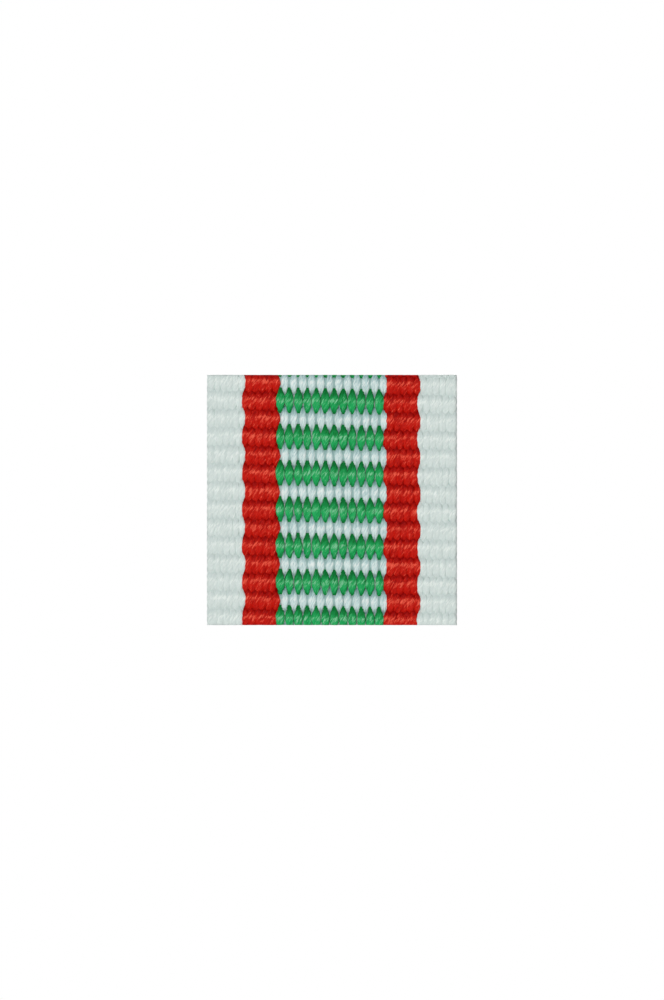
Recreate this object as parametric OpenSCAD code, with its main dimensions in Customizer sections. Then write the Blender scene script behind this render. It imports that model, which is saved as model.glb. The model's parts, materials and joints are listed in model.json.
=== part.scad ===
// Medal ribbon square on a pin-back brooch.
// The ribbon faces -Y and hangs upright, +Z up. The origin is on the pin's axis, half way along the bar.
// Every length is in millimetres.

/* [Ribbon] */
// Height of the cut piece of ribbon
ribbon_h = 16; // [12:0.5:24]
// Thickness of the ribbon over the crowns of its ribs
ribbon_t = 0.8; // [0.7:0.05:1.2]
// Width of each white outer stripe, with its selvedge
white_w = 2.4; // [2:0.05:4]
// Width of each red stripe
red_w = 2.15; // [1.75:0.05:4]
// Width of the barred green and white centre
centre_w = 6.9; // [5.7:0.05:12]
// Number of ribs, one for each pass of the weft
rib_count = 14; // [8:2:16]
// Height of a rib's crown over the valley beside it
rib_crown = 0.15; // [0.08:0.01:0.25]
// Distance from a cut edge to the crest of the nearest rib
cut_margin = 0.45; // [0.35:0.05:0.6]
// Radius of the weft inside a rib
weft_r = 0.18; // [0.14:0.01:0.22]
// Radius of the weft where it turns at a selvedge
turn_r = 0.13; // [0.08:0.01:0.13]

/* [Backing] */
// How far the backing stands inside the ribbon's edges
backing_inset = 0.4; // [0.2:0.05:0.8]
// Corner radius of the backing
backing_corner_r = 1; // [0.6:0.1:2]
// Thickness of the adhesive film
film_t = 0.1; // [0.05:0.01:0.2]
// Thickness of the stiffener board
board_t = 0.5; // [0.4:0.05:0.8]
// Thickness of the backing plate
plate_t = 0.5; // [0.3:0.05:0.8]
// Thickness of the plate's turned-back rim
rim_wall = 0.4; // [0.3:0.05:0.6]
// Height of the rim over the plate's back
rim_h = 0.9; // [0.5:0.05:1.1]

/* [Brooch bar] */
// Distance from the ribbon's top edge down to the pin
pin_drop = 5.4; // [4:0.1:8]
// Height of the bar
bar_h = 2.6; // [2.4:0.1:4]
// Thickness of the bar
bar_t = 0.5; // [0.4:0.05:0.8]
// Corner radius of the bar
bar_corner_r = 0.8; // [0.4:0.05:1.1]
// Gap between each end of the bar and the rim
bar_end_gap = 0.5; // [0.2:0.05:1]
// Gap between a bar rivet's head and the hinge or catch next to it
rivet_gap = 0.4; // [0.2:0.05:0.6]
// Radius of a bar rivet's shank
rivet_r = 0.5; // [0.4:0.05:0.6]
// Radius of a bar rivet's heads
rivet_head_r = 0.95; // [0.8:0.05:1.15]
// Height of a bar rivet's heads
rivet_head_h = 0.3; // [0.2:0.02:0.36]

/* [Pin and hinge] */
// Distance from the bar's end to the hinge axis
hinge_inset = 1.5; // [1.2:0.05:2]
// Radius of the pin's stem
pin_r = 0.4; // [0.3:0.02:0.5]
// How much thinner the pin's neck and its length in the catch are
pin_relief = 0.07; // [0.04:0.01:0.1]
// Radius of the pin's eye
eye_r = 0.72; // [0.65:0.01:0.9]
// Thickness of the pin's eye
eye_t = 0.9; // [0.85:0.05:1.2]
// How much the neck and the length in the catch narrow towards their thin ends
pin_taper = 0.04; // [0.02:0.01:0.06]
// Length of the neck between the eye and the stem
neck_l = 0.28; // [0.2:0.02:0.5]
// Length of the taper from the stem to its thinner length
taper_l = 0.28; // [0.2:0.02:0.4]
// Gap between the taper and the roller
taper_gap = 0.12; // [0.1:0.01:0.2]
// How far the thinner length passes the roller
thin_overrun = 0.15; // [0.05:0.01:0.2]
// Length of the pin's ground point
point_l = 0.7; // [0.5:0.05:1]
// Radius of the blunted tip
tip_r = 0.06; // [0.04:0.01:0.1]
// Radius of the hinge rivet
hinge_r = 0.3; // [0.22:0.01:0.36]
// Radius of the hinge rivet's heads
hinge_head_r = 0.55; // [0.45:0.05:0.65]
// Height of the hinge rivet's heads
hinge_head_h = 0.25; // [0.15:0.05:0.3]
// How far the bracket's ears stand out round the eye
ear_lip = 0.03; // [0.02:0.01:0.1]
// How far an ear's web stands inside its round end on each side
ear_waist = 0.18; // [0.1:0.01:0.25]
// Thickness of an ear
ear_t = 0.35; // [0.25:0.05:0.5]
// Thickness of the bracket's base
bracket_base_t = 0.3; // [0.2:0.05:0.35]

/* [Catch] */
// Distance from the bar's end to the middle of the catch
catch_inset = 1.7; // [1.5:0.05:2.5]
// Length of the catch housing along the pin
housing_l = 1.4; // [1:0.1:2]
// Outer radius of the catch housing
housing_r = 1.15; // [1.05:0.01:1.2]
// Wall of the catch housing
housing_wall = 0.35; // [0.25:0.01:0.4]
// Gap between the housing's ring and the bar, filled by its foot
ring_gap = 0.15; // [0.1:0.01:0.4]
// Thickness of the housing's foot
foot_t = 0.3; // [0.2:0.05:0.4]
// How far the foot stands inside the bar's edges
foot_margin = 0.2; // [0.1:0.05:0.4]
// How far the roller's flanges stand inside the outside of the housing
flange_step = 0.1; // [0.05:0.01:0.15]
// Thickness of each roller flange
flange_t = 0.4; // [0.3:0.05:0.5]
// Reach of the roller's thumb tab from the pin's axis
tab_reach = 2.1; // [1.7:0.1:2.8]
// Radius of the thumb tab's rounded end
tab_r = 0.36; // [0.3:0.02:0.45]
// How much thinner the tab is than its flange, on each face
tab_inset = 0.03; // [0.02:0.01:0.08]
// How far the tab's arm stands inside its rounded end on each side
tab_waist = 0.06; // [0.03:0.01:0.1]
// Direction of the thumb tab when the roller is open, from straight back towards the top
tab_angle = 75; // [60:1:90]

/* [Fits] */
// Clearance round the weft inside the ribs
weft_clearance = 0.02; // [0.01:0.01:0.04]
// Clearance round riveted shanks
rivet_clearance = 0.02; // [0.01:0.01:0.05]
// Clearance round the rivet heads sunk in the board
head_clearance = 0.1; // [0.05:0.01:0.2]
// Radial running clearance of the pin's eye on its rivet
hinge_clearance = 0.03; // [0.02:0.01:0.06]
// Gap on each side of the pin's eye
eye_gap = 0.05; // [0.03:0.01:0.1]
// Radial running clearance of the roller in its housing
roller_clearance = 0.03; // [0.02:0.01:0.06]
// Gap between the housing's ends and the roller's flanges
flange_gap = 0.05; // [0.03:0.01:0.1]
// Radial room for the pin inside the roller
pin_room = 0.12; // [0.1:0.01:0.15]
// Room on each side of the pin in the roller's slot
slot_room = 0.07; // [0.05:0.01:0.08]
// Extra half width of the housing's slot over the roller's
slot_step = 0.04; // [0.02:0.01:0.06]

/* [Hidden] */

$fn = 64;
// Overrun of a cutting shape past the face that it cuts
over = 1;
// How far neighbouring ribs of one stripe run into each other
rib_lap = 0.01;

// Faces from the pin's axis, y = 0, forward to the ribbon's crowns
pin_rise = housing_r + ring_gap;
bar_back_y = -pin_rise;
plate_back_y = bar_back_y - bar_t;
plate_front_y = plate_back_y - plate_t;
board_front_y = plate_front_y - board_t;
film_front_y = board_front_y - film_t;
ribbon_front_y = film_front_y - ribbon_t;
weft_y = (film_front_y + ribbon_front_y) / 2;

// Ribbon across and down
ribbon_w = 2 * white_w + 2 * red_w + centre_w;
top_z = pin_drop;
bottom_z = top_z - ribbon_h;
middle_z = (top_z + bottom_z) / 2;
rib_pitch = (ribbon_h - 2 * cut_margin) / (rib_count - 1);
crown_r = (pow(rib_pitch / 2, 2) + pow(rib_crown, 2)) / (2 * rib_crown);
turn_x = ribbon_w / 2 - turn_r;
white_x = turn_x - turn_r - weft_clearance;
red_x = ribbon_w / 2 - white_w;
centre_x = centre_w / 2;
all_ribs = [0 : rib_count - 1];
white_ribs = [0 : 2 : rib_count - 1];
green_ribs = [1 : 2 : rib_count - 1];

// Backing
backing_w = ribbon_w - 2 * backing_inset;
backing_h = ribbon_h - 2 * backing_inset;
tray_w = backing_w - 2 * rim_wall;
tray_h = backing_h - 2 * rim_wall;
tray_corner_r = backing_corner_r - rim_wall;

// Brooch along the pin
bar_w = tray_w - 2 * bar_end_gap;
hinge_x = -bar_w / 2 + hinge_inset;
catch_x = bar_w / 2 - catch_inset;
stem_start_x = hinge_x + eye_r + neck_l;
flange_start_x = catch_x - housing_l / 2 - flange_gap - flange_t;
flange_end_x = catch_x + housing_l / 2 + flange_gap + flange_t;
thin_start_x = flange_start_x - taper_gap;
stem_end_x = thin_start_x - taper_l;
thin_end_x = flange_end_x + thin_overrun;
thin_r = pin_r - pin_relief;
ear_r = eye_r + ear_lip;
rivet_x = min(-hinge_x - ear_r, flange_start_x) - rivet_gap - rivet_head_r;

// Hinge and catch sections
eye_bore_r = hinge_r + hinge_clearance;
ear_inner_z = eye_t / 2 + eye_gap;
ear_outer_z = ear_inner_z + ear_t;
ear_web_w = 2 * (ear_r - ear_waist);
housing_bore_r = housing_r - housing_wall;
roller_r = housing_bore_r - roller_clearance;
roller_bore_r = thin_r + pin_room;
roller_slot_w = 2 * (thin_r + slot_room);
housing_slot_w = roller_slot_w + 2 * slot_step;
foot_h = bar_h - 2 * foot_margin;
flange_r = housing_r - flange_step;
tab_w = 2 * (tab_r - tab_waist);

function rib_z(rib) = top_z - cut_margin - rib * rib_pitch;
function rib_top_z(rib) = rib == 0 ? top_z : rib_z(rib) + rib_pitch / 2;
function rib_bottom_z(rib) = rib == rib_count - 1 ? bottom_z : rib_z(rib) - rib_pitch / 2;

// A cylinder along X from one x to another
module rod_x(from_x, to_x, r) {
    translate([from_x, 0, 0])
        rotate([0, 90, 0])
            cylinder(h = to_x - from_x, r = r);
}

// A turned shape about the X axis, from points of radius and x
module turned_x(outline) {
    rotate([0, 90, 0])
        rotate_extrude()
            polygon(outline);
}

// A flat shape in Y and Z, drawn out along X from one x to another
module drawn_x(from_x, to_x) {
    translate([from_x, 0, 0])
        rotate([90, 0, 90])
            linear_extrude(height = to_x - from_x)
                children();
}

// A cylinder along Y from a front face to a back face
module rod_y(front_y, back_y, r) {
    translate([0, back_y, 0])
        rotate([90, 0, 0])
            cylinder(h = back_y - front_y, r = r);
}

// A box between two corners
module block(low, high) {
    translate(low)
        cube(high - low);
}

module rounded_outline(width, height, corner_r) {
    square([width, height - 2 * corner_r], center = true);
    square([width - 2 * corner_r, height], center = true);
    for (side_x = [-1, 1])
        for (side_z = [-1, 1])
            translate([side_x * (width / 2 - corner_r), side_z * (height / 2 - corner_r)])
                circle(r = corner_r);
}

// A panel that faces -Y, with rounded corners
module panel(width, height, corner_r, front_y, back_y, z = middle_z) {
    translate([0, back_y, z])
        rotate([90, 0, 0])
            linear_extrude(height = back_y - front_y)
                rounded_outline(width, height, corner_r);
}

// The same shape at both bar rivets
module at_rivets() {
    for (side = [-1, 1])
        translate([side * rivet_x, 0, 0])
            children();
}

// One rib in section: flat on the film, crowned in front, with the weft's bore
module rib_section(rib, lap) {
    low_z = max(rib_bottom_z(rib) - lap, bottom_z);
    high_z = min(rib_top_z(rib) + lap, top_z);
    difference() {
        intersection() {
            translate([ribbon_front_y, low_z])
                square([ribbon_t, high_z - low_z]);
            translate([ribbon_front_y + crown_r, rib_z(rib)])
                circle(r = crown_r, $fn = 180);
        }
        translate([weft_y, rib_z(rib)])
            circle(r = weft_r + weft_clearance);
    }
}

// The warp ends of one plain stripe, from one x to another, over every rib
module stripe(from_x, to_x) {
    drawn_x(from_x, to_x)
        for (rib = all_ribs)
            rib_section(rib, rib_lap);
}

// The warp ends of one colour in the centre, where they come up over every second rib
module bars(ribs) {
    for (rib = ribs)
        drawn_x(-centre_x, centre_x)
            rib_section(rib, 0);
}

// The weft runs to and fro through every rib and turns at the selvedges, left first
module ribbon_weft() {
    color("gainsboro")
        union() {
            for (rib = all_ribs)
                translate([0, weft_y, rib_z(rib)])
                    rod_x(-turn_x, turn_x, weft_r);
            for (rib = [0 : rib_count - 2])
                translate([(rib % 2 == 0 ? -1 : 1) * turn_x, weft_y, rib_z(rib + 1)])
                    cylinder(h = rib_pitch, r = turn_r);
        }
}

module ribbon_white_left() {
    color("whitesmoke")
        stripe(-white_x, -red_x);
}

module ribbon_red_left() {
    color("firebrick")
        stripe(-red_x, -centre_x);
}

module ribbon_green_bars() {
    color("seagreen")
        bars(green_ribs);
}

module ribbon_white_bars() {
    color("whitesmoke")
        bars(white_ribs);
}

module ribbon_red_right() {
    color("firebrick")
        stripe(centre_x, red_x);
}

module ribbon_white_right() {
    color("whitesmoke")
        stripe(red_x, white_x);
}

module bonding_film() {
    color("wheat")
        panel(backing_w, backing_h, backing_corner_r, film_front_y, board_front_y);
}

// The board clears the flat front heads of the bar rivets
module stiffener_board() {
    color("dimgray")
        difference() {
            panel(backing_w, backing_h, backing_corner_r, board_front_y, plate_front_y);
            at_rivets()
                rod_y(board_front_y - over, plate_front_y + over, rivet_head_r + head_clearance);
        }
}

// A pressed tray, its rim turned towards the back
module backing_plate() {
    color("darkgoldenrod")
        difference() {
            panel(backing_w, backing_h, backing_corner_r, plate_front_y, plate_back_y + rim_h);
            panel(tray_w, tray_h, tray_corner_r, plate_back_y, plate_back_y + rim_h + over);
            at_rivets()
                rod_y(plate_front_y - over, plate_back_y + over, rivet_r + rivet_clearance);
        }
}

module brooch_bar() {
    color("goldenrod")
        difference() {
            panel(bar_w, bar_h, bar_corner_r, plate_back_y, bar_back_y, 0);
            at_rivets()
                rod_y(plate_back_y - over, bar_back_y + over, rivet_r + rivet_clearance);
        }
}

// Flat head in front of the plate, shank through plate and bar, domed head behind the bar
module bar_rivets() {
    dome_r = (pow(rivet_head_r, 2) + pow(rivet_head_h, 2)) / (2 * rivet_head_h);
    color("goldenrod")
        at_rivets()
            union() {
                rod_y(plate_front_y - rivet_head_h, plate_front_y, rivet_head_r);
                rod_y(plate_front_y - rivet_head_h / 2, bar_back_y + rivet_head_h / 2, rivet_r);
                intersection() {
                    translate([0, bar_back_y + rivet_head_h - dome_r, 0])
                        sphere(r = dome_r);
                    rod_y(bar_back_y, bar_back_y + 2 * rivet_head_h, rivet_head_r + over);
                }
            }
}

// Two ears on a base, drilled for the hinge rivet
module hinge_bracket() {
    color("goldenrod")
        difference() {
            union() {
                block(
                    [hinge_x - ear_r, bar_back_y, -ear_outer_z],
                    [hinge_x + ear_r, bar_back_y + bracket_base_t, ear_outer_z]
                );
                for (low_z = [ear_inner_z, -ear_outer_z]) {
                    translate([hinge_x, 0, low_z])
                        cylinder(h = ear_t, r = ear_r);
                    block(
                        [hinge_x - ear_web_w / 2, bar_back_y + bracket_base_t / 2, low_z],
                        [hinge_x + ear_web_w / 2, 0, low_z + ear_t]
                    );
                }
            }
            translate([hinge_x, 0, -ear_outer_z - over])
                cylinder(h = 2 * (ear_outer_z + over), r = hinge_r + rivet_clearance);
        }
}

module hinge_rivet() {
    color("silver")
        translate([hinge_x, 0, 0])
            union() {
                cylinder(h = 2 * ear_outer_z + hinge_head_h, r = hinge_r, center = true);
                for (low_z = [ear_outer_z, -ear_outer_z - hinge_head_h])
                    translate([0, 0, low_z])
                        cylinder(h = hinge_head_h, r = hinge_head_r);
            }
}

// Eye, then the turned neck, stem, thinner length inside the catch and ground point
module pin_stem() {
    neck_x = hinge_x + (eye_bore_r + eye_r) / 2;
    color("lightsteelblue")
        difference() {
            union() {
                translate([hinge_x, 0, -eye_t / 2])
                    cylinder(h = eye_t, r = eye_r);
                turned_x([
                    [0, neck_x],
                    [thin_r, neck_x],
                    [thin_r - pin_taper, stem_start_x],
                    [pin_r, stem_start_x],
                    [pin_r, stem_end_x],
                    [thin_r, thin_start_x],
                    [thin_r - pin_taper, thin_end_x],
                    [tip_r, thin_end_x + point_l],
                    [0, thin_end_x + point_l]
                ]);
            }
            translate([hinge_x, 0, -eye_t])
                cylinder(h = 2 * eye_t, r = eye_bore_r);
        }
}

// A ring on a foot, slotted at the back for the pin
module catch_housing() {
    color("goldenrod")
        drawn_x(catch_x - housing_l / 2, catch_x + housing_l / 2)
            difference() {
                union() {
                    circle(r = housing_r);
                    translate([bar_back_y, -foot_h / 2])
                        square([foot_t, foot_h]);
                    translate([bar_back_y + foot_t / 2, -housing_bore_r])
                        square([pin_rise - foot_t / 2, 2 * housing_bore_r]);
                }
                circle(r = housing_bore_r);
                translate([0, -housing_slot_w / 2])
                    square([housing_r + over, housing_slot_w]);
            }
}

// A turned spool inside the housing, slotted like it, with a thumb tab on its outer flange
module locking_roller() {
    tab_start_x = flange_end_x - flange_t + tab_inset;
    tab_end_x = flange_end_x - tab_inset;
    color("silver")
        difference() {
            union() {
                turned_x([
                    [roller_bore_r, flange_start_x],
                    [flange_r, flange_start_x],
                    [flange_r, flange_start_x + flange_t],
                    [roller_r, flange_start_x + flange_t],
                    [roller_r, flange_end_x - flange_t],
                    [flange_r, flange_end_x - flange_t],
                    [flange_r, flange_end_x],
                    [roller_bore_r, flange_end_x]
                ]);
                rotate([tab_angle, 0, 0]) {
                    block(
                        [tab_start_x, roller_r, -tab_w / 2],
                        [tab_end_x, tab_reach - tab_r, tab_w / 2]
                    );
                    translate([0, tab_reach - tab_r, 0])
                        rod_x(tab_start_x, tab_end_x, tab_r);
                }
            }
            block(
                [flange_start_x - over, 0, -roller_slot_w / 2],
                [flange_end_x + over, flange_r + over, roller_slot_w / 2]
            );
        }
}

ribbon_weft();
ribbon_white_left();
ribbon_red_left();
ribbon_green_bars();
ribbon_white_bars();
ribbon_red_right();
ribbon_white_right();
bonding_film();
stiffener_board();
backing_plate();
brooch_bar();
bar_rivets();
hinge_bracket();
hinge_rivet();
pin_stem();
catch_housing();
locking_roller();
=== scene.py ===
# %% [markdown]
# # A medal ribbon on its brooch
# The piece is a square of striped medal ribbon on a stiff brass plate, with a hinged pin behind it.
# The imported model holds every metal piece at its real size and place. Its ribbon is only a ribbed
# block for each stripe, so this lesson weaves the ribbon again, one yarn at a time, and then gives
# the metal its finish.

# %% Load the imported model
import json
import math

import bpy
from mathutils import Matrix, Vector


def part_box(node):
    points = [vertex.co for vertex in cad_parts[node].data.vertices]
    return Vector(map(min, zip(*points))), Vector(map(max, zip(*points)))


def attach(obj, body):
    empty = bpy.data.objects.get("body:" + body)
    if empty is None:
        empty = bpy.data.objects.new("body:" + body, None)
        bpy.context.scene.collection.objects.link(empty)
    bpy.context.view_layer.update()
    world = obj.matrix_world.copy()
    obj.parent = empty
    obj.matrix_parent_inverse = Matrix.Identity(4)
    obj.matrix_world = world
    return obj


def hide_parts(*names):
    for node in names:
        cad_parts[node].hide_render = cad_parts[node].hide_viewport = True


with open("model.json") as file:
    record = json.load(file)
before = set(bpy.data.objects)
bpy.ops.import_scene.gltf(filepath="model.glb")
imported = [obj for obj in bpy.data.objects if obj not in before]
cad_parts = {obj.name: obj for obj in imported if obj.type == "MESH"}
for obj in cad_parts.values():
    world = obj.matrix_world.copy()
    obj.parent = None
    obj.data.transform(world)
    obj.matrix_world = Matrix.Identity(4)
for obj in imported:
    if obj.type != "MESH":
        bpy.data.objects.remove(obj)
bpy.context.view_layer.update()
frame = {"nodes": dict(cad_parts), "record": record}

MM = 0.001

# %% [markdown]
# ## Where the ribbon is
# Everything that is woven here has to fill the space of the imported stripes. So the ribbon's edges and
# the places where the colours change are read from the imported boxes, and no size is typed twice.

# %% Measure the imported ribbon
RIBBON_NODES = [name for name in frame["nodes"] if name.startswith("ribbon_")]
ribbon_boxes = [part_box(name) for name in RIBBON_NODES]
low_corners = [low for low, high in ribbon_boxes]
high_corners = [high for low, high in ribbon_boxes]
ribbon_left, ribbon_front, ribbon_bottom = [min(places) for places in zip(*low_corners)]
ribbon_right, ribbon_back, ribbon_top = [max(places) for places in zip(*high_corners)]
ribbon_width = ribbon_right - ribbon_left
ribbon_height = ribbon_top - ribbon_bottom
ribbon_middle_y = (ribbon_front + ribbon_back) / 2
ribbon_middle_z = (ribbon_top + ribbon_bottom) / 2
red_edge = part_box("ribbon_red_right")[1].x
centre_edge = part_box("ribbon_red_right")[0].x
print("ribbon in mm:", round(ribbon_width / MM, 2), "wide,", round(ribbon_height / MM, 2), "high")

# %% [markdown]
# ## The camera
# The photograph looks straight at the ribbon, like a scan: its edges stay parallel and nothing gets
# smaller with depth. An orthographic camera could do that, but a very long lens from far away gives
# the same look and still behaves like a real camera when the view moves round the badge.

# %% Camera
PICTURE_HEIGHT_PX = 1000
# The ribbon is 250 pixels high in the photograph. Its uneven cut ends need a hair more here.
RIBBON_HEIGHT_PX = 250.5
LENS_MM = 250
SENSOR_MM = 36
# What is nearer to the lens than this, in metres, is not drawn.
NEAREST_VIEW = 0.01
LEVEL_VIEW = math.radians(90)
camera_data = bpy.data.cameras.new("camera")
camera_data.lens = LENS_MM
camera_data.sensor_width = SENSOR_MM
camera_data.clip_start = NEAREST_VIEW
view_height = ribbon_height * PICTURE_HEIGHT_PX / RIBBON_HEIGHT_PX
camera_distance = view_height * LENS_MM / SENSOR_MM
camera = bpy.data.objects.new("camera", camera_data)
camera.location = (0, ribbon_front - camera_distance, ribbon_middle_z)
camera.rotation_euler = (LEVEL_VIEW, 0, 0)
bpy.context.scene.collection.objects.link(camera)
bpy.context.scene.camera = camera
print("camera", round(camera_distance, 3), "m in front of the ribbon")

# %% [markdown]
# ## Sums inside node trees
# A yarn's path is a formula, and a node tree can work a formula out for every point of a mesh. Wiring
# Math nodes by hand is hard to read, so this small class lets sockets be added and multiplied like
# numbers. Each sign makes one Math node. It serves the geometry trees and the materials alike.


# %% Formula
def feed(tree, place, value):
    """Plug a formula into an input socket, or set the socket to a plain value."""
    if isinstance(value, Formula):
        tree.links.new(value.socket, place)
    else:
        place.default_value = value


def math_node(tree, operation, *values):
    node = tree.nodes.new("ShaderNodeMath")
    node.operation = operation
    for place, value in zip(node.inputs, values):
        feed(tree, place, value)
    return Formula(tree, node.outputs[0])


class Formula:
    """A socket of a node tree that takes +, -, * and /."""

    def __init__(self, tree, socket):
        self.tree = tree
        self.socket = socket

    def __add__(self, other):
        return math_node(self.tree, "ADD", self, other)

    def __radd__(self, other):
        return math_node(self.tree, "ADD", other, self)

    def __sub__(self, other):
        return math_node(self.tree, "SUBTRACT", self, other)

    def __rsub__(self, other):
        return math_node(self.tree, "SUBTRACT", other, self)

    def __mul__(self, other):
        return math_node(self.tree, "MULTIPLY", self, other)

    def __rmul__(self, other):
        return math_node(self.tree, "MULTIPLY", other, self)

    def __truediv__(self, other):
        return math_node(self.tree, "DIVIDE", self, other)

    def apply(self, operation, *others):
        """Any other Math operation, such as COSINE or ABSOLUTE."""
        return math_node(self.tree, operation, self, *others)


def mixed(share, start, end):
    """From start, at share 0, to end, at share 1."""
    return start + (end - start) * share


print("formulas ready")

# %% [markdown]
# ## Trees that make pieces
# Every woven piece comes from a Geometry Nodes tree with named inputs. One tree can then make all six
# stripes, each with its own count, colour and place. The result is turned into a plain mesh, because a
# plain mesh is what can be exported and moved with the badge.

# %% Tree helpers
SOCKET_KINDS = {
    int: "NodeSocketInt",
    float: "NodeSocketFloat",
    bpy.types.Material: "NodeSocketMaterial",
}


def new_tree(name, inputs):
    """An empty geometry tree with named inputs, and those inputs as formulas."""
    tree = bpy.data.node_groups.new(name, "GeometryNodeTree")
    tree.interface.new_socket("Piece", in_out="OUTPUT", socket_type="NodeSocketGeometry")
    for label, kind in inputs.items():
        tree.interface.new_socket(label, in_out="INPUT", socket_type=SOCKET_KINDS[kind])
    entry = tree.nodes.new("NodeGroupInput")
    return tree, {label: Formula(tree, entry.outputs[label]) for label in inputs}


def add_node(tree, kind, inputs=None, **settings):
    """A node with its settings made and its inputs fed, by name."""
    node = tree.nodes.new(kind)
    for setting, value in settings.items():
        setattr(node, setting, value)
    for label, value in (inputs or {}).items():
        feed(tree, node.inputs[label], value)
    return node


def out(node, label):
    """One output of a node as a formula."""
    return Formula(node.id_data, node.outputs[label])


def hand_over(tree, geometry, material):
    """End a tree: real geometry, with its material, at the tree's output."""
    real = out(add_node(tree, "GeometryNodeRealizeInstances", {"Geometry": geometry}), "Geometry")
    dressed = add_node(tree, "GeometryNodeSetMaterial", {"Geometry": real, "Material": material})
    add_node(tree, "NodeGroupOutput", {"Piece": out(dressed, "Geometry")})


def made_by(tree, name, settings):
    """A new object that holds the tree's result as a plain mesh."""
    piece = bpy.data.objects.new(name, bpy.data.meshes.new(name))
    bpy.context.scene.collection.objects.link(piece)
    modifier = piece.modifiers.new("weave", "NODES")
    modifier.node_group = tree
    for item in tree.interface.items_tree:
        if item.in_out == "INPUT":
            modifier[item.identifier] = settings[item.name]
    depsgraph = bpy.context.evaluated_depsgraph_get()
    mesh = bpy.data.meshes.new_from_object(piece.evaluated_get(depsgraph), depsgraph=depsgraph)
    piece.modifiers.remove(modifier)
    piece.data = mesh
    return piece


print("tree helpers ready")

# %% [markdown]
# The next helpers are the words that the formulas are written with. A tree can write a value on every
# point of a mesh under a name, and read it again later or in a material. Noise makes values that drift
# slowly from place to place, so that no yarn is quite like the next.

# %% Values in trees
# Noise textures give values about this middle.
NOISE_MIDDLE = 0.5


def stored(tree, geometry, name, value, data_type="FLOAT", domain="POINT"):
    """The geometry with a named attribute added to it."""
    inputs = {"Geometry": geometry, "Name": name, "Value": value}
    node = add_node(tree, "GeometryNodeStoreNamedAttribute", inputs, data_type=data_type, domain=domain)
    return out(node, "Geometry")


def attribute(tree, name, data_type="FLOAT"):
    """A named attribute as a formula."""
    node = add_node(tree, "GeometryNodeInputNamedAttribute", {"Name": name}, data_type=data_type)
    return out(node, "Attribute")


def vector(tree, x, y, z):
    return out(add_node(tree, "ShaderNodeCombineXYZ", {"X": x, "Y": y, "Z": z}), "Vector")


def parts(tree, value):
    """The x, y and z of a vector."""
    node = add_node(tree, "ShaderNodeSeparateXYZ", {"Vector": value})
    return out(node, "X"), out(node, "Y"), out(node, "Z")


def noise(tree, place, scale, detail):
    """Smooth noise at a place."""
    inputs = {"Vector": place, "Scale": scale, "Detail": detail}
    return out(add_node(tree, "ShaderNodeTexNoise", inputs), 0)


def drift(tree, x, y, z):
    """Smooth noise about zero, from about -0.5 to 0.5."""
    return noise(tree, vector(tree, x, y, z), scale=1.0, detail=1.0) - NOISE_MIDDLE


print("value helpers ready")

# %% [markdown]
# ## Silk-like yarn
# The warp is a smooth, shiny yarn, twisted from many fine filaments. Close up it shows slanting
# streaks, glints where a filament catches the light, painted here as pale highlights, and threads that
# differ a little in tone. A texture laid flat over the ribbon would cut straight across the twist. So
# each yarn carries an attribute called strand, whose noise runs along its own filaments.


# %% Colour helpers
def ramp_node(tree, share, stops):
    """A colour ramp through (position, colour) stops, as a formula."""
    node = add_node(tree, "ShaderNodeValToRGB", {"Fac": share})
    ramp = node.color_ramp
    while len(ramp.elements) < len(stops):
        ramp.elements.new(1.0)
    for element, (position, colour) in zip(ramp.elements, stops):
        element.position = position
        element.color = (*colour, 1)
    return out(node, "Color")


def bump_node(tree, height, strength, distance):
    """The normal of a surface with small heights on it, as a formula."""
    inputs = {"Height": height, "Strength": strength, "Distance": distance}
    return out(add_node(tree, "ShaderNodeBump", inputs), "Normal")


def new_finish(name):
    """An empty material, its node tree and its Principled shader."""
    material = bpy.data.materials.new(name)
    material.use_nodes = True
    return material, material.node_tree, material.node_tree.nodes["Principled BSDF"]


print("colour helpers ready")

# %% [markdown]
# Each yarn has three colours. Its body runs from a painted shade colour, in the dips, to main, on the
# ribs, and its painted highlights are pale. The white yarn of the bars has a darker painted shade of its
# own, tinted blue-green for the shade and the green light reflected between the green yarns. The weft is
# painted duller, as painted shade, because hardly any light reaches it.

# %% Yarn finishes
# How fine the plies and the filaments of a yarn are, in noise cells for each unit of strand
PLY_SCALE = 1.6
FILAMENT_SCALE = 4.5
# Plies and filaments make the streaks, which lie about 0.5.
STREAK_WEIGHT = 0.8
STREAK_DROP = 0.3
# The tone of a yarn that is neither lighter nor darker than the rest
MIDDLE_TONE = 0.5
# How much painted shade the body takes in the dips of the yarn, and how much it follows each yarn's tone
DIP_SHADE = 0.28
TONE_SHADE = 0.14
# The shares at which the body has its painted shade colour and its main colour
SHADE_SHARE = 0.34
MAIN_SHARE = 0.78
# What makes a painted highlight: a streak, the top line of a rib and the front of a rib
HIGHLIGHT_STREAK = 1.7
HIGHLIGHT_CREST = 0.3
HIGHLIGHT_FRONT = 0.2
HIGHLIGHT_START = 1.2
HIGHLIGHT_FULL = 1.55
ROUGHNESS_SPREAD = 0.15
STREAK_DEPTH = 0.05 * MM
YARN_GLOSS = 0.05


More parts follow.
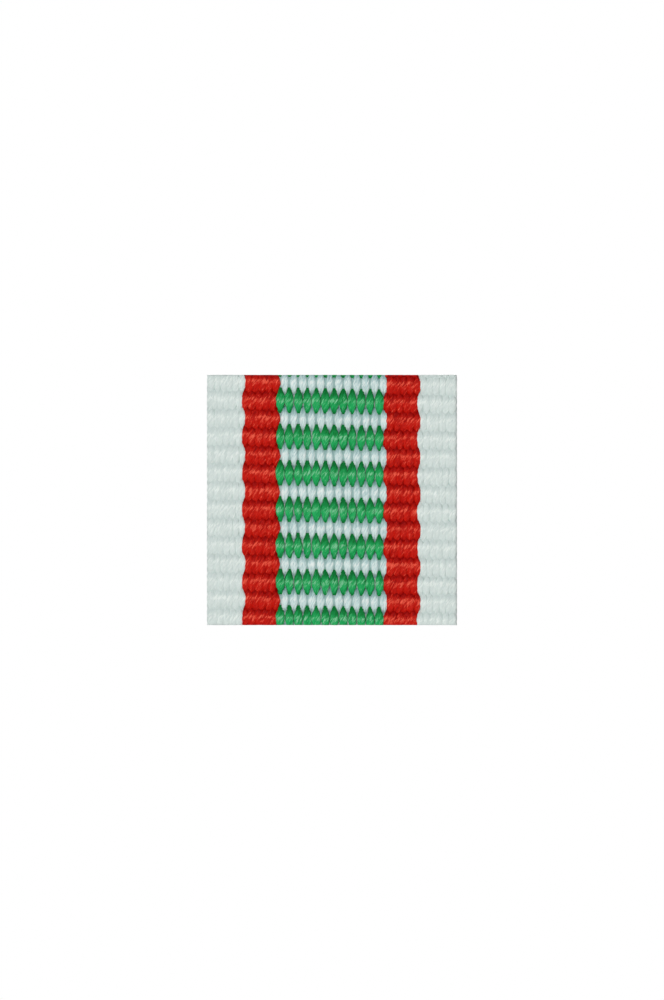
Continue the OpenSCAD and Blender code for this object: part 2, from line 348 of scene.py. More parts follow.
def yarn_finish(name, painted_shade_colour, main, pale, roughness):
    """Twisted filament yarn, with painted shade where it dips between ribs and painted highlights on top.
    """
    material, tree, shader = new_finish(name)
    strand = out(add_node(tree, "ShaderNodeAttribute", attribute_name="strand"), "Vector")
    tone, over, crest = [
        out(add_node(tree, "ShaderNodeAttribute", attribute_name=label), "Fac")
        for label in ("tone", "over", "crest")]
    plies = noise(tree, strand, PLY_SCALE, detail=1.0)
    filaments = noise(tree, strand, FILAMENT_SCALE, detail=2.0)
    streaks = (plies + filaments) * STREAK_WEIGHT - STREAK_DROP
    # Painted shade: the body darkens towards its painted shade colour where the yarn dips between ribs.
    shade = streaks + over * DIP_SHADE + (tone - MIDDLE_TONE) * TONE_SHADE
    # Painted highlights: the pale colour goes where streaks lie along the crest line and the front of a
    # rib.
    painted_highlights = add_node(tree, "ShaderNodeMapRange", {
        "Value": streaks * HIGHLIGHT_STREAK + crest * HIGHLIGHT_CREST + over * HIGHLIGHT_FRONT,
        "From Min": HIGHLIGHT_START,
        "From Max": HIGHLIGHT_FULL})
    colour = add_node(tree, "ShaderNodeMix", data_type="RGBA")
    feed(tree, colour.inputs["Factor"], out(painted_highlights, 0))
    feed(tree, colour.inputs["A"], ramp_node(tree, shade, [(SHADE_SHARE, painted_shade_colour), (MAIN_SHARE, main)]))
    colour.inputs["B"].default_value = (*pale, 1)
    feed(tree, shader.inputs["Base Color"], out(colour, "Result"))
    rough = mixed(filaments, roughness + ROUGHNESS_SPREAD, roughness - ROUGHNESS_SPREAD)
    feed(tree, shader.inputs["Roughness"], rough)
    bumps = bump_node(tree, streaks, strength=1.0, distance=STREAK_DEPTH)
    feed(tree, shader.inputs["Normal"], bumps)
    shader.inputs["Specular IOR Level"].default_value = YARN_GLOSS
    return material


white_yarn = yarn_finish(
    "white_yarn", roughness=0.45,
    painted_shade_colour=(0.66, 0.755, 0.73), main=(0.775, 0.865, 0.83), pale=(0.93, 1.0, 0.96))
# The white yarn of the bars, a copy with darker, blue-green painted shade for the shade and the green
# light between the green yarns.
bar_yarn_painted_shade = yarn_finish(
    "white_bar_yarn_painted_shade", roughness=0.45,
    painted_shade_colour=(0.34, 0.54, 0.55), main=(0.74, 0.9, 0.88), pale=(0.93, 1.0, 0.97))
red_yarn = yarn_finish(
    "red_yarn", roughness=0.4,
    painted_shade_colour=(0.3, 0.0, 0.0), main=(0.63, 0.008, 0.002), pale=(0.96, 0.122, 0.07))
green_yarn = yarn_finish(
    "green_yarn", roughness=0.4,
    painted_shade_colour=(0.005, 0.205, 0.04), main=(0.018, 0.475, 0.128), pale=(0.25, 0.635, 0.37))
# The weft's colours are painted duller, as painted shade, since hardly any light reaches it.
weft_yarn = yarn_finish(
    "weft_yarn", roughness=0.5,
    painted_shade_colour=(0.36, 0.53, 0.515), main=(0.54, 0.64, 0.6), pale=(0.6, 0.7, 0.66))
YARNS = [white_yarn, bar_yarn_painted_shade, red_yarn, green_yarn, weft_yarn]
print("yarn finishes:", [yarn.name for yarn in YARNS])

# %% [markdown]
# ## The weave
# Medal ribbon is ribbed because its warp, the yarn that runs down the ribbon, hides a thick straight
# weft. The warp yarns run in pairs. Every second pair passes in front of a rib while its neighbours pass
# behind, and they swap at the next one. A swing of one cosine wave over two ribs gives that path. A yarn
# is broad and flat where it lies over the weft and narrow where it squeezes between its neighbours.

# %% Weave sizes
RIBS = 14
FIRST_CREST_DROP = 0.52 * MM
LAST_CREST_RISE = 0.41 * MM
rib_pitch = (ribbon_height - FIRST_CREST_DROP - LAST_CREST_RISE) / (RIBS - 1)
first_crest = ribbon_top - FIRST_CREST_DROP
# The weft runs a little downhill from left to right.
WEFT_SLOPE = 0.0189
# How far the ribs wander from straight, over what length, and the slice of the noise that they follow
RIB_WANDER = 0.05 * MM
RIB_WANDER_LENGTH = 3.0 * MM
RIB_WANDER_SLICE = 0.37


def rib_phase(tree, x, z):
    """How many ribs below the first crest a place on the ribbon is."""
    noise_x = x / RIB_WANDER_LENGTH
    noise_z = z / RIB_WANDER_LENGTH
    wander = drift(tree, noise_x, noise_z, RIB_WANDER_SLICE) * RIB_WANDER
    return (first_crest - z - x * WEFT_SLOPE + wander) / rib_pitch


print("ribs:", RIBS, "at", round(rib_pitch / MM, 3), "mm")

# %% [markdown]
# One tree makes all the yarns of a stripe. It starts from a cylinder with one unit of radius and of
# height, cut into many short lengths, and copies it once for each yarn. Each copy carries its number,
# from which the later formulas find its pair, its place and its random values. The copies' maps lie
# side by side, so that a colour can be baked on each yarn by itself.

# %% Unit yarns
SIDES = 22
LENGTHS = 176
# Blender maps the sides of a cylinder below this level and its two caps above it.
CAP_LEVEL = 0.51
# How the sides are stretched in a yarn's own map, and where the caps go above them
SIDE_STRETCH = 1.9
CAP_BASE = 0.92
CAP_SHARE = 0.08


def one_yarn(tree):
    """A unit cylinder in many short lengths, with its own map and its sides marked for smooth shading."""
    inputs = {"Vertices": SIDES, "Side Segments": LENGTHS, "Radius": 1.0, "Depth": 1.0}
    cylinder = add_node(tree, "GeometryNodeMeshCylinder", inputs)
    mesh = stored(tree, out(cylinder, "Mesh"), "side", out(cylinder, "Side"), "BOOLEAN", "FACE")
    return stored(tree, mesh, "OFBake", out(cylinder, "UV Map"), "FLOAT2", "CORNER")


def copied_yarns(tree, count):
    """One copy of the unit yarn for each place, numbered."""
    points = out(add_node(tree, "GeometryNodePoints", {"Count": count}), 0)
    numbered = stored(tree, points, "number", out(add_node(tree, "GeometryNodeInputIndex"), 0), "INT")
    inputs = {"Points": numbered, "Instance": one_yarn(tree)}
    copies = add_node(tree, "GeometryNodeInstanceOnPoints", inputs)
    return out(add_node(tree, "GeometryNodeRealizeInstances", {"Geometry": out(copies, 0)}), 0)


def chance(tree, low, high, number, seed):
    """One random value for each yarn."""
    inputs = {"Min": low, "Max": high, "ID": number, "Seed": seed}
    return out(add_node(tree, "FunctionNodeRandomValue", inputs), 1)


def side_by_side(tree, mesh, number, count):
    """Lay the yarns' maps side by side, each with its length upright and its two cut faces on top."""
    across, up, _ = parts(tree, attribute(tree, "OFBake", "FLOAT_VECTOR"))
    on_cap = up.apply("GREATER_THAN", CAP_LEVEL)
    upright = mixed(on_cap, up * SIDE_STRETCH, CAP_BASE + up * CAP_SHARE)
    place = vector(tree, (across + number) / count, upright, 0.0)
    return stored(tree, mesh, "OFBake", place, "FLOAT2", "CORNER")


print("unit yarn:", SIDES, "sides,", LENGTHS, "lengths")

# %% [markdown]
# A yarn's swing, its breadth and its depth all follow from one number, its phase: how far along its
# wave it is. Sag moves the crossings, where pairs change places, a little down, and Taper says how fast
# a yarn narrows from the crest of a rib to a crossing. Shade lag moves the painted light and shade down,
# and Glint lead moves its line of painted highlights up. The first and the last pair of a stripe narrow
# more where they meet the next stripe, so that the border between two colours is a smooth wave.

# %% Warp path
WARP_INPUTS = {
    "Pairs": int,
    "First pair": float,
    "Pitch": float,
    "First phase": float,
    "Phase step": float,
    "Swing": float,
    "Forward": float,
    "Crest spread": float,
    "Crossing spread": float,
    "Crest half width": float,
    "Crossing half width": float,
    "Crest half depth": float,
    "Crossing half depth": float,
    "Taper": float,
    "Sag": float,
    "Shade lag": float,
    "Glint lead": float,
    "First border": float,
    "Last border": float,
    "Edge lean": float,
    "Seed": int,
    "Yarn": bpy.types.Material,
}
# How much flatter than a cosine the swing is over a rib
FLATTENING = 0.2
# How narrow a pair is where it crosses at the border of two stripes, against one inside a stripe
BORDER_CROSSING = 0.62
# Pair numbers nearer to each other than this are the same.
SAME_PAIR = 0.5


def warp_path(tree, size, pair, pair_x, z):
    """A pair's phase, how far in front its swing brings it, and how spread out it is there."""
    even = (rib_phase(tree, pair_x, z) + size["First phase"] + size["Phase step"] * pair) * math.pi
    phase = even - size["Sag"] * even.apply("SINE") * even.apply("SINE")
    wave = phase.apply("COSINE")
    swing = wave * (1 + FLATTENING) / (1 + FLATTENING * wave.apply("ABSOLUTE"))
    spread = swing.apply("ABSOLUTE").apply("POWER", size["Taper"])
    return phase, swing, spread


def narrowing(size, pair, last, spread):
    """How narrow a pair is, against the pairs inside the stripe."""
    first = pair.apply("COMPARE", 0.0, SAME_PAIR)
    at_border = first * size["First border"] + last * size["Last border"]
    return mixed(at_border, 1.0, mixed(spread, BORDER_CROSSING, 1.0))


print("warp inputs:", len(WARP_INPUTS))

# %% [markdown]
# The tree moves every point of the unit yarns to where the formulas say. The twist turns the lobes and
# the strand attribute round the yarn as it runs, so the streaks slant. Three more attributes tell the
# finish the painted light and shade of a point, where the painted highlights go along the top line of a
# rib, and its yarn's tone.

# %% Warp tree
LOBES = 4
LOBE_HEIGHT = 0.1
TWIST = 3.4 / MM
# Each yarn's twist starts anywhere in about one turn, in radians.
TWIST_STARTS = 6.28
STRANDS_PER_MM = 1.2
# How far a yarn sways to the sides, how its breadth varies, and how unevenly the knife cuts it
SIDE_WANDER = 0.14 * MM
FULLNESS_WANDER = 0.3
CUT_WANDER = 0.03 * MM
# How far apart the yarns of two stripes, and two neighbours, lie in the noise that each one follows
SEED_STEP = 31.7
STRAND_STEP = 2.3
FULLNESS_STEP = 3.1
SWAY_STEP = 1.7
# The slices of the noise that breadth and sway follow, and how fast the sway changes along a yarn
FULLNESS_SLICE = 5.2
SWAY_SLICE = 1.4
SWAY_PER_MM = 0.7
# What is added to a stripe's seed for each kind of random value
TONE_SEED = 1
CUT_SEED = 2
# How much painted shade darkens a yarn where it sinks behind the ribs
SINK_SHADE = 0.9
# How sharp the line of painted highlights along a crest is
GLINT_SHARPNESS = 8


def marked(tree, mesh, size, number, phase, swing, strand):
    """The mesh with the attributes that the yarn finish reads."""
    mesh = stored(tree, mesh, "strand", strand, "FLOAT_VECTOR")
    # Painted shade: dark in the dips, lagging behind the crest by Shade lag, and darker where the yarn
    # sinks.
    sunk = (swing * -SINK_SHADE).apply("MAXIMUM", 0.0)
    mesh = stored(tree, mesh, "over", (phase - size["Shade lag"] * math.pi).apply("COSINE") - sunk)
    # Painted highlight: the crest attribute marks the line of painted highlights along each rib.
    glint = (phase + size["Glint lead"] * math.pi).apply("COSINE").apply("MAXIMUM", 0.0)
    mesh = stored(tree, mesh, "crest", glint.apply("POWER", GLINT_SHARPNESS))
    return stored(tree, mesh, "tone", chance(tree, 0.0, 1.0, number, size["Seed"] + TONE_SEED))


def warp_tree():
    tree, size = new_tree("warp yarns", WARP_INPUTS)
    count = size["Pairs"] * 2
    mesh = copied_yarns(tree, count)
    number = attribute(tree, "number", "INT")
    own = number + size["Seed"] * SEED_STEP
    pair = (number / 2).apply("FLOOR")
    last = (pair + 1).apply("COMPARE", size["Pairs"], SAME_PAIR)
    side = (number - pair * 2) * 2 - 1
    unit_x, unit_y, unit_z = parts(tree, out(add_node(tree, "GeometryNodeInputPosition"), 0))
    angle = unit_y.apply("ARCTAN2", unit_x)
    cut = chance(tree, 0.0, CUT_WANDER, number, size["Seed"] + CUT_SEED)
    z = ribbon_middle_z + unit_z * (ribbon_height - cut)
    pair_x = size["First pair"] + size["Pitch"] * pair
    phase, swing, spread = warp_path(tree, size, pair, pair_x, z)
    # How far the yarn is from the middle of its pair, and how broad and deep it is there
    narrow = narrowing(size, pair, last, spread)
    fullness = drift(tree, own * FULLNESS_STEP, z / MM, FULLNESS_SLICE) * FULLNESS_WANDER + 1
    apart = mixed(spread, size["Crossing spread"], size["Crest spread"]) * narrow
    half_width = mixed(spread, size["Crossing half width"], size["Crest half width"]) * fullness * narrow
    half_depth = mixed(spread, size["Crossing half depth"], size["Crest half depth"])
    # The last pair leans where the weft pulls it at the selvedge
    lean = phase.apply("SINE") * size["Edge lean"] * last
    sway = drift(tree, own * SWAY_STEP, z / MM * SWAY_PER_MM, SWAY_SLICE) * SIDE_WANDER
    # No pair reaches past the selvedges
    reach = apart + half_width * (1 + LOBE_HEIGHT)
    free_x = pair_x - lean + sway
    inside = free_x.apply("MAXIMUM", reach + ribbon_left).apply("MINIMUM", ribbon_right - reach)
    # The lobes of the twisted filaments
    turn = angle - TWIST * z - chance(tree, 0.0, TWIST_STARTS, number, size["Seed"])
    lobe = (turn * LOBES).apply("COSINE") * LOBE_HEIGHT + 1
    x = inside + side * apart + half_width * lobe * angle.apply("COSINE")
    forward = swing * size["Swing"] + size["Forward"]
    y = ribbon_middle_y - forward + half_depth * lobe * angle.apply("SINE")
    along = z * (STRANDS_PER_MM / MM) + own * STRAND_STEP
    strand = vector(tree, turn.apply("COSINE"), turn.apply("SINE"), along)
    mesh = marked(tree, mesh, size, number, phase, swing, strand)
    mesh = side_by_side(tree, mesh, number, count)
    smooth = add_node(tree, "GeometryNodeSetShadeSmooth", {
        "Geometry": mesh, "Shade Smooth": attribute(tree, "side", "BOOLEAN")})
    placed = add_node(tree, "GeometryNodeSetPosition", {
        "Geometry": out(smooth, 0), "Position": vector(tree, x, y, z)})
    hand_over(tree, out(placed, 0), size["Yarn"])
    return tree


warp_yarns = warp_tree()
print("warp tree:", len(warp_yarns.nodes), "nodes")

# %% [markdown]
# ## The six stripes
# Each stripe has a plain count of pairs between two edges. In the plain stripes neighbours swap, so
# their phase steps by one. The widths follow from the pitch, the distance from one pair to the next.

# %% Weave the plain stripes
WHITE_PAIRS = 12
RED_PAIRS = 10
# The weaver set the colours a little to the left of the middle.
BORDER_SHIFT = -0.05 * MM
borders = [edge + BORDER_SHIFT for edge in (-red_edge, -centre_edge, centre_edge, red_edge)]


def stripe(name, pairs, first_pair, pitch, first_phase, phase_step, yarn, seed, changes):
    settings = {
        "Pairs": pairs,
        "First pair": first_pair,
        "Pitch": pitch,
        "First phase": first_phase,
        "Phase step": phase_step,
        "Swing": 0.15 * MM,
        "Forward": 0.0,
        "Crest spread": 0.4 * pitch,
        "Crossing spread": 0.2 * pitch,
        "Crest half width": 1.0 * pitch,
        "Crossing half width": 0.85 * pitch,
        "Crest half depth": 0.13 * MM,
        "Crossing half depth": 0.2 * MM,
        "Taper": 1.4,
        "Sag": 0.2,
        "Shade lag": 0.15,
        "Glint lead": 0.04,
        "First border": 1.0,
        "Last border": 1.0,
        "Edge lean": 0.0,
        "Seed": seed,
        "Yarn": yarn,
    }
    settings.update(changes)
    piece = made_by(warp_yarns, name, settings)
    print(name, "with", pairs, "pairs,", len(piece.data.polygons), "faces")
    return piece


def plain_stripe(name, pairs, left, right, yarn, seed, changes):
    """A stripe of one colour between two edges, whose neighbours swap at each rib."""
    pitch = (right - left) / pairs
    return stripe(
        name, pairs, left + pitch / 2, pitch, first_phase=1.0, phase_step=1.0,
        yarn=yarn, seed=seed, changes=changes)


# A white stripe has the selvedge at one side, where no other colour meets it.
white_left = plain_stripe(
    "white_stripe_left", WHITE_PAIRS, ribbon_left, borders[0], white_yarn, 1, {"First border": 0.0})
red_left = plain_stripe("red_stripe_left", RED_PAIRS, borders[0], borders[1], red_yarn, 2, {})
red_right = plain_stripe("red_stripe_right", RED_PAIRS, borders[2], borders[3], red_yarn, 5, {})
white_right = plain_stripe(
    "white_stripe_right", WHITE_PAIRS, borders[3], ribbon_right, white_yarn, 6,
    {"Last border": 0.0, "Edge lean": 0.08 * MM})

# %% [markdown]
# In the centre the green and the white pairs alternate. All the green ones are in front of the same
# ribs, and all the white ones in front of the others, which is what makes the bars. The green floats
# are long and full, and the white ones are small beads.

# %% Weave the barred centre
CENTRE_PAIRS = 24
centre_pitch = 2 * centre_edge / CENTRE_PAIRS
first_green = -centre_edge + centre_pitch / 2
BAR_SETTINGS = {
    "First border": 0.0,
    "Last border": 0.0,
    "Swing": 0.22 * MM,
    "Crest half depth": 0.1 * MM,
    "Crossing half depth": 0.17 * MM,
}
green_centre = stripe(
    "green_bars", CENTRE_PAIRS // 2, first_green, 2 * centre_pitch, first_phase=1.0, phase_step=0.0,
    yarn=green_yarn, seed=3, changes={
        **BAR_SETTINGS,
        "Taper": 0.65,
        "Sag": 0.05,
        "Shade lag": 0.22,
        "Glint lead": 0.0,
        "Forward": 0.07 * MM,
        "Crest spread": 0.09 * MM,
        "Crossing spread": 0.04 * MM,
        "Crest half width": 0.192 * MM,
        "Crossing half width": 0.085 * MM,
    })
white_centre = stripe(
    "white_bars", CENTRE_PAIRS // 2, first_green + centre_pitch, 2 * centre_pitch, first_phase=0.0,
    phase_step=0.0, yarn=bar_yarn_painted_shade, seed=4, changes={
        **BAR_SETTINGS,
        "Taper": 1.65,
        "Sag": 0.06,
        "Shade lag": 0.18,
        "Glint lead": 0.02,
        "Forward": -0.05 * MM,
        "Crest spread": 0.08 * MM,
        "Crossing spread": 0.07 * MM,
        "Crest half width": 0.162 * MM,
        "Crossing half width": 0.102 * MM,
    })

# %% [markdown]
# ## The weft
# The weft is one long thread. It runs through every rib and turns at the selvedges, the ribbon's woven
# edges. The warp hides it, apart from slivers in the slits between the bars. Its path is a zigzag with
# rounded ends: the run counts the passes, and the thread turns at each whole number.

# %% Weft path
WEFT_INPUTS = {
    "Ribs": int,
    "Turn": float,
    "Turn radius": float,
    "Half height": float,
    "Half depth": float,
    "Turn size": float,
    "Yarn": bpy.types.Material,
}
# How much of the first and of the last pass is left out, in even steps
WEFT_ENDS = 0.3
# The share of a rib's run that each half of a turn takes, and how much closer the points are there
TURN_SHARE = 0.04
TURN_CROWDING = 0.9


def smooth_step(tree, value, low, high):
    inputs = {"Value": value, "From Min": low, "From Max": high}
    node = add_node(tree, "ShaderNodeMapRange", inputs, interpolation_type="SMOOTHSTEP")
    return out(node, 0)


def weft_path(tree, size, step):
    """Where the thread is at a step from 0 to 1: its x, z and rib, and how much it is turning."""
    even = mixed(step, WEFT_ENDS, size["Ribs"] - WEFT_ENDS)
    run = even - (even * (2 * math.pi)).apply("SINE") * (TURN_CROWDING / (2 * math.pi))
    nearest = run.apply("ROUND")
    from_turn = run - nearest
    side = (nearest * math.pi).apply("COSINE")
    reach = (size["Turn"] * (size["Turn"] + size["Turn radius"] * 2)).apply("SQRT") * from_turn * 2
    rounding = (reach * reach + size["Turn radius"] * size["Turn radius"]).apply("SQRT")
    x = side * (size["Turn"] + size["Turn radius"] - rounding)
    rib = nearest - 1 + smooth_step(tree, from_turn, -TURN_SHARE, TURN_SHARE)
    sloped = first_crest - rib * rib_pitch - x * WEFT_SLOPE
    above_bottom = sloped.apply("MAXIMUM", size["Half height"] + ribbon_bottom)
    z = above_bottom.apply("MINIMUM", ribbon_top - size["Half height"])
    turning = 1 - smooth_step(tree, from_turn.apply("ABSOLUTE"), TURN_SHARE / 2, TURN_SHARE * 2)
    return x, z, rib, turning


print("weft inputs:", len(WEFT_INPUTS))

# %% [markdown]
# The tree moves a line of points to that path and sweeps it with a flat oval section, thinner at the
# turns. Like the warp, the thread gets a twisted strand attribute and the marks that its finish reads.

# %% Weft tree
POINTS_PER_RIB = 60
WEFT_SIDES = 16
WEFT_TWIST = 2.0 / MM
# The painted shading of the thread under the plain stripes
PLAIN_SHADE = 0.5


def weft_tree():
    tree, size = new_tree("weft", WEFT_INPUTS)
    points = size["Ribs"] * POINTS_PER_RIB
    line = add_node(tree, "GeometryNodeMeshLine", {"Count": points})
    step = out(add_node(tree, "GeometryNodeInputIndex"), 0) / (points - 1)
    x, z, rib, turning = weft_path(tree, size, step)
    placed = add_node(tree, "GeometryNodeSetPosition", {
        "Geometry": out(line, "Mesh"), "Position": vector(tree, x, ribbon_middle_y, z)})
    thread = out(add_node(tree, "GeometryNodeMeshToCurve", {"Mesh": out(placed, 0)}), 0)
    thread = stored(tree, thread, "turning", turning)
    # Behind the white bars the weft gets painted shade, for the shade of the green yarns
    in_centre = x.apply("ABSOLUTE").apply("LESS_THAN", centre_edge)
    bar_shade = (rib * math.pi).apply("COSINE") * -1
    thread = stored(tree, thread, "over", mixed(in_centre, PLAIN_SHADE, bar_shade))
    along = add_node(tree, "GeometryNodeSplineParameter")
    thread = stored(tree, thread, "along", out(along, "Length"))
    radius = add_node(tree, "GeometryNodeSetCurveRadius", {
        "Curve": thread, "Radius": mixed(attribute(tree, "turning"), 1.0, size["Turn size"])})
    ring = add_node(tree, "GeometryNodeCurvePrimitiveCircle", {"Resolution": WEFT_SIDES, "Radius": 1.0})
    section = stored(tree, out(ring, "Curve"), "around", out(along, "Factor"))
    ring_x, ring_y, _ = parts(tree, out(add_node(tree, "GeometryNodeInputPosition"), 0))
    oval = add_node(tree, "GeometryNodeSetPosition", {
        "Geometry": section,
        "Position": vector(tree, ring_x * size["Half depth"], ring_y * size["Half height"], 0.0)})
    tube = add_node(tree, "GeometryNodeCurveToMesh", {
        "Curve": out(radius, 0), "Profile Curve": out(oval, 0), "Fill Caps": True})
    turn = attribute(tree, "around") * (2 * math.pi) - attribute(tree, "along") * WEFT_TWIST
    strand_along = attribute(tree, "along") * (STRANDS_PER_MM / MM)
    strand = vector(tree, turn.apply("COSINE"), turn.apply("SINE"), strand_along)
    mesh = stored(tree, out(tube, 0), "strand", strand, "FLOAT_VECTOR")
    mesh = stored(tree, mesh, "tone", MIDDLE_TONE)
    mesh = stored(tree, mesh, "crest", 0.0)
    hand_over(tree, mesh, size["Yarn"])
    return tree


weft = made_by(weft_tree(), "weft_thread", {
    "Ribs": RIBS,
    "Turn": 7.55 * MM,
    "Turn radius": 0.12 * MM,
    "Half height": 0.36 * MM,
    "Half depth": 0.16 * MM,
    "Turn size": 0.35,
    "Yarn": weft_yarn,
})
print("weft:", len(weft.data.polygons), "faces, box",
      [round(side / MM, 2) for side in weft.dimensions])

# %% [markdown]
# ## Ribbon pieces and what they stand for
# Each woven piece takes the place of one imported piece and rides on the badge. The weft stands for
# the cloth, cut to the ribbon's own size and laid on the film, with the stripes that it binds.

# %% Ride and replace
WOVEN = [
    (weft, "ribbon_weft", "weft_yarn"),
    (white_left, "ribbon_white_left", "white_yarn"),
    (red_left, "ribbon_red_left", "red_yarn"),
    (green_centre, "ribbon_green_bars", "green_yarn"),
    (white_centre, "ribbon_white_bars", "white_yarn"),
    (red_right, "ribbon_red_right", "red_yarn"),
    (white_right, "ribbon_white_right", "white_yarn"),
]
for piece, node_name, slot_name in WOVEN:
    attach(piece, "badge")
    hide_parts(node_name)
print("woven pieces:", len(WOVEN))

# %% [markdown]
# ## Metal, board and film
# The brass is pressed and lightly polished, so it keeps fine lines in one direction and a few darker,
# warmer patches. Noise on Object coordinates gives both: stretched for the lines, and as it is for the
# patches. The pin is drawn wire, so its lines run along it.

# %% Metal finishes
PATCHES_PER_MM = 0.25
# How much patches and lines count for the colour, and the shares at which it is dull and bright
PATCH_WEIGHT = 0.75
LINE_WEIGHT = 0.25
TARNISHED_SHARE = 0.3
BRIGHT_SHARE = 0.6
# For the roughness both count the same. It runs from this much above the given one to this much below.
WEAR_WEIGHT = 0.5
DULLER = 0.15
SHINIER = 0.1
LINE_STRENGTH = 0.4


def object_place(tree):
    return out(add_node(tree, "ShaderNodeTexCoord"), "Object")


def lined_metal(name, bright, tarnished, roughness, stretch, lines_per_mm, depth):
    """Metal with fine lines along the axis that stretch makes long, and soft patches of tarnish."""
    material, tree, shader = new_finish(name)
    place = object_place(tree)
    stretched = out(add_node(tree, "ShaderNodeMapping", {"Vector": place, "Scale": stretch}), 0)
    lines = noise(tree, stretched, lines_per_mm / MM, detail=3.0)
    patches = noise(tree, place, PATCHES_PER_MM / MM, detail=4.0)
    shade = patches * PATCH_WEIGHT + lines * LINE_WEIGHT
    colour = ramp_node(tree, shade, [(TARNISHED_SHARE, tarnished), (BRIGHT_SHARE, bright)])
    feed(tree, shader.inputs["Base Color"], colour)
    shader.inputs["Metallic"].default_value = 1.0
    wear = patches * WEAR_WEIGHT + lines * WEAR_WEIGHT
    feed(tree, shader.inputs["Roughness"], mixed(wear, roughness + DULLER, roughness - SHINIER))
    feed(tree, shader.inputs["Normal"], bump_node(tree, lines, LINE_STRENGTH, depth))
    return material


FINISHES = {
    "plate_brass": lined_metal(
        "plate_brass", bright=(0.8, 0.58, 0.24), tarnished=(0.62, 0.42, 0.16), roughness=0.32,
        stretch=(1, 1, 0.06), lines_per_mm=9, depth=0.004 * MM),
    "brooch_brass": lined_metal(
        "brooch_brass", bright=(0.86, 0.64, 0.3), tarnished=(0.62, 0.4, 0.15), roughness=0.24,
        stretch=(0.08, 1, 1), lines_per_mm=9, depth=0.003 * MM),
    "steel": lined_metal(
        "steel", bright=(0.66, 0.67, 0.69), tarnished=(0.42, 0.42, 0.43), roughness=0.26,
        stretch=(0.03, 1, 1), lines_per_mm=14, depth=0.003 * MM),
    "nickel": lined_metal(
        "nickel", bright=(0.8, 0.78, 0.74), tarnished=(0.6, 0.57, 0.52), roughness=0.2,
        stretch=(1, 1, 1), lines_per_mm=6, depth=0.002 * MM),
}
print("metal finishes:", sorted(FINISHES))

# %% [markdown]
# The stiffener is dense dark board, speckled with paper fibre, and the film that holds the ribbon is
# thin clear glue gone a little yellow. Both only show as thin layers at the badge's edge.

# %% Board and film finishes
FIBRES_PER_MM = 7
FIBRE_STOPS = [(0.3, (0.02, 0.02, 0.022)), (0.6, (0.06, 0.058, 0.055)), (0.75, (0.16, 0.15, 0.14))]
FIBRE_STRENGTH = 0.7
FIBRE_DEPTH = 0.02 * MM
BOARD_ROUGHNESS = 0.9
CLOUDS_PER_MM = 1.2
CLOUD_STOPS = [(0.35, (0.5, 0.4, 0.22)), (0.65, (0.76, 0.68, 0.48))]
GLOSSY_FILM = 0.2
DULL_FILM = 0.45


def board_finish():
    material, tree, shader = new_finish("board")
    fibres = noise(tree, object_place(tree), FIBRES_PER_MM / MM, detail=5.0)
    feed(tree, shader.inputs["Base Color"], ramp_node(tree, fibres, FIBRE_STOPS))
    shader.inputs["Roughness"].default_value = BOARD_ROUGHNESS
    feed(tree, shader.inputs["Normal"], bump_node(tree, fibres, FIBRE_STRENGTH, FIBRE_DEPTH))
    return material


def film_finish():
    material, tree, shader = new_finish("film")
    clouds = noise(tree, object_place(tree), CLOUDS_PER_MM / MM, detail=3.0)
    feed(tree, shader.inputs["Base Color"], ramp_node(tree, clouds, CLOUD_STOPS))
    feed(tree, shader.inputs["Roughness"], mixed(clouds, GLOSSY_FILM, DULL_FILM))
    return material


FINISHES["board"] = board_finish()
FINISHES["film"] = film_finish()
print("all finishes:", sorted(FINISHES))

# %% [markdown]
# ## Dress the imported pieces
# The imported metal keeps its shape. Each piece takes the finish that the record names for it. Real
# stamped and turned edges are never razor sharp, so a Weld and a small Bevel round every hard edge.

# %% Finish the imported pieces
EDGE_ROUND_MM = {
    "plate_brass": 0.06,
    "brooch_brass": 0.05,
    "steel": 0.03,
    "nickel": 0.035,
    "board": 0.03,
    "film": 0.01,
}
WELD_REACH = 0.0005 * MM
ROUND_STEPS = 2
SHARP_ANGLE = math.radians(40)
for part in frame["record"]["subparts"]:
    slot_name = part["material_slot"]
    if slot_name not in FINISHES:
        continue
    packed = frame["nodes"][part["node"]]
    packed.data.materials.clear()
    packed.data.materials.append(FINISHES[slot_name])
    weld = packed.modifiers.new("weld", "WELD")
    weld.merge_threshold = WELD_REACH
    bevel = packed.modifiers.new("soft edges", "BEVEL")
    bevel.width = EDGE_ROUND_MM[slot_name] * MM
    bevel.segments = ROUND_STEPS
    bevel.limit_method = "ANGLE"
    bevel.angle_limit = SHARP_ANGLE
    bevel.harden_normals = True
    print(part["node"], "in", slot_name)

# %% [markdown]
# ## The studio
# The photograph is a flat scan on white. A room of pale paper gives that look from every side: a floor
# under the badge and four walls round it, which the metal mirrors. Only the back wall may also light
# the cloth, because light from all sides would wash out the ribs.

# %% Floor and walls
FLOOR_Z = -0.1
WALL_TOP = 0.8
ROOM_REACH = 0.8
WALL_GLOW = 1.0
FLOOR_GLOW = 0.88


def glowing_paper(name, strength):
    """White paper that shines by itself, so that it stays pale wherever the lamps point."""
    material, _, shader = new_finish(name)
    shader.inputs["Base Color"].default_value = (0.0, 0.0, 0.0, 1)
    shader.inputs["Specular IOR Level"].default_value = 0.0
    shader.inputs["Emission Color"].default_value = (1.0, 1.0, 1.0, 1)
    shader.inputs["Emission Strength"].default_value = strength
    return material


def sheet_of_paper(name, corners, paper, lights_cloth):
    mesh = bpy.data.meshes.new(name)
    mesh.from_pydata(corners, [], [(0, 1, 2, 3)])
    mesh.materials.append(paper)
    surface = bpy.data.objects.new(name, mesh)
    surface.visible_diffuse = lights_cloth
    surface.visible_shadow = lights_cloth
    bpy.context.scene.collection.objects.link(surface)


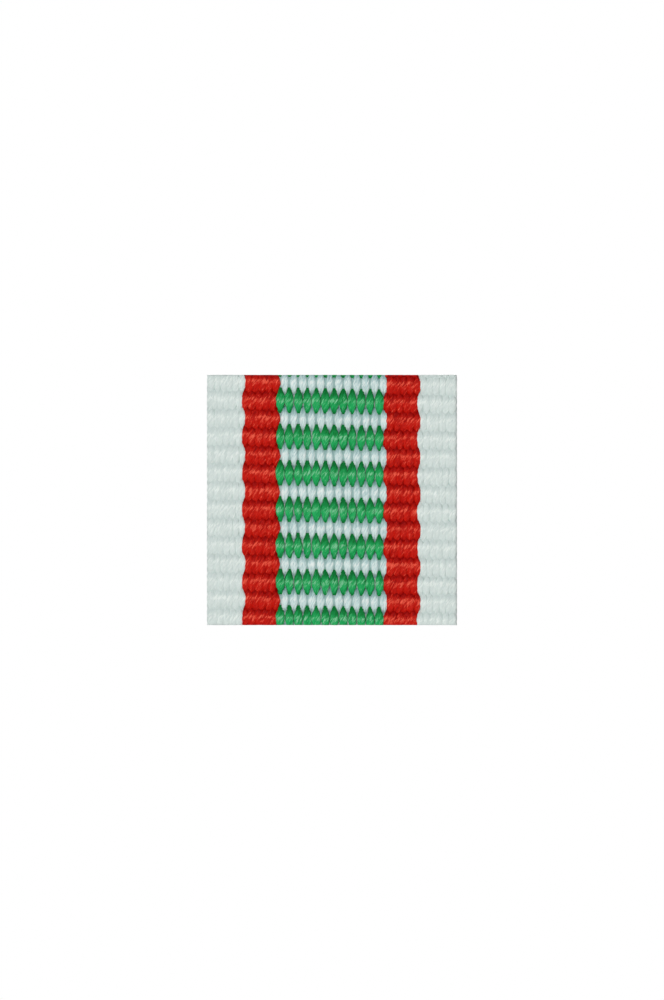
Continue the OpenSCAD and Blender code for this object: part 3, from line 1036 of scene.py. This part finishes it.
def wall(name, start, end, lights_cloth=False):
    """An upright sheet between two floor points."""
    corners = [(*start, FLOOR_Z), (*end, FLOOR_Z), (*end, WALL_TOP), (*start, WALL_TOP)]
    sheet_of_paper(name, corners, wall_paper, lights_cloth)


wall_paper = glowing_paper("wall_paper", WALL_GLOW)
floor_paper = glowing_paper("floor_paper", FLOOR_GLOW)
room = [(-ROOM_REACH, -ROOM_REACH), (ROOM_REACH, -ROOM_REACH),
        (ROOM_REACH, ROOM_REACH), (-ROOM_REACH, ROOM_REACH)]
sheet_of_paper("floor", [(*corner, FLOOR_Z) for corner in room], floor_paper, False)
wall("front_wall", room[0], room[1])
wall("right_wall", room[1], room[2])
wall("back_wall", room[2], room[3], lights_cloth=True)
wall("left_wall", room[3], room[0])
print("floor and four walls, each", 2 * ROOM_REACH, "m long")

# %% [markdown]
# A small lamp in front, a little to the left and above, gives the ribbon its light. A weak one from low
# on the left lifts the lower half of each rib, and a wide one behind lights the brass. The sky fills
# the rest.

# %% Light
SKY_STRENGTH = 0.33
ribbon_centre = Vector((0, ribbon_front, ribbon_middle_z))


def lamp(name, offset, width, height, power):
    """A soft lamp at an offset from the ribbon's centre, turned to face it."""
    light = bpy.data.lights.new(name, "AREA")
    light.shape = "RECTANGLE"
    light.size = width
    light.size_y = height
    light.energy = power
    holder = bpy.data.objects.new(name, light)
    holder.location = ribbon_centre + Vector(offset)
    holder.rotation_euler = (-Vector(offset)).to_track_quat("-Z", "Y").to_euler()
    holder.visible_camera = False
    bpy.context.scene.collection.objects.link(holder)
    print(name, "lamp of", power, "W")


lamp("front", offset=(-0.06, -0.4, 0.07), width=0.1, height=0.1, power=0.81)
lamp("low_left", offset=(-0.14, -0.2475, -0.2475), width=0.4, height=0.1, power=0.2)
lamp("back", offset=(-0.2, 0.35, 0.25), width=0.8, height=0.8, power=2.0)
sky = bpy.data.worlds.new("pale_sky")
sky.use_nodes = True
sky.node_tree.nodes["Background"].inputs["Color"].default_value = (1.0, 1.0, 1.0, 1)
sky.node_tree.nodes["Background"].inputs["Strength"].default_value = SKY_STRENGTH
bpy.context.scene.world = sky
bpy.context.scene.view_settings.view_transform = "Standard"
print("studio lit")
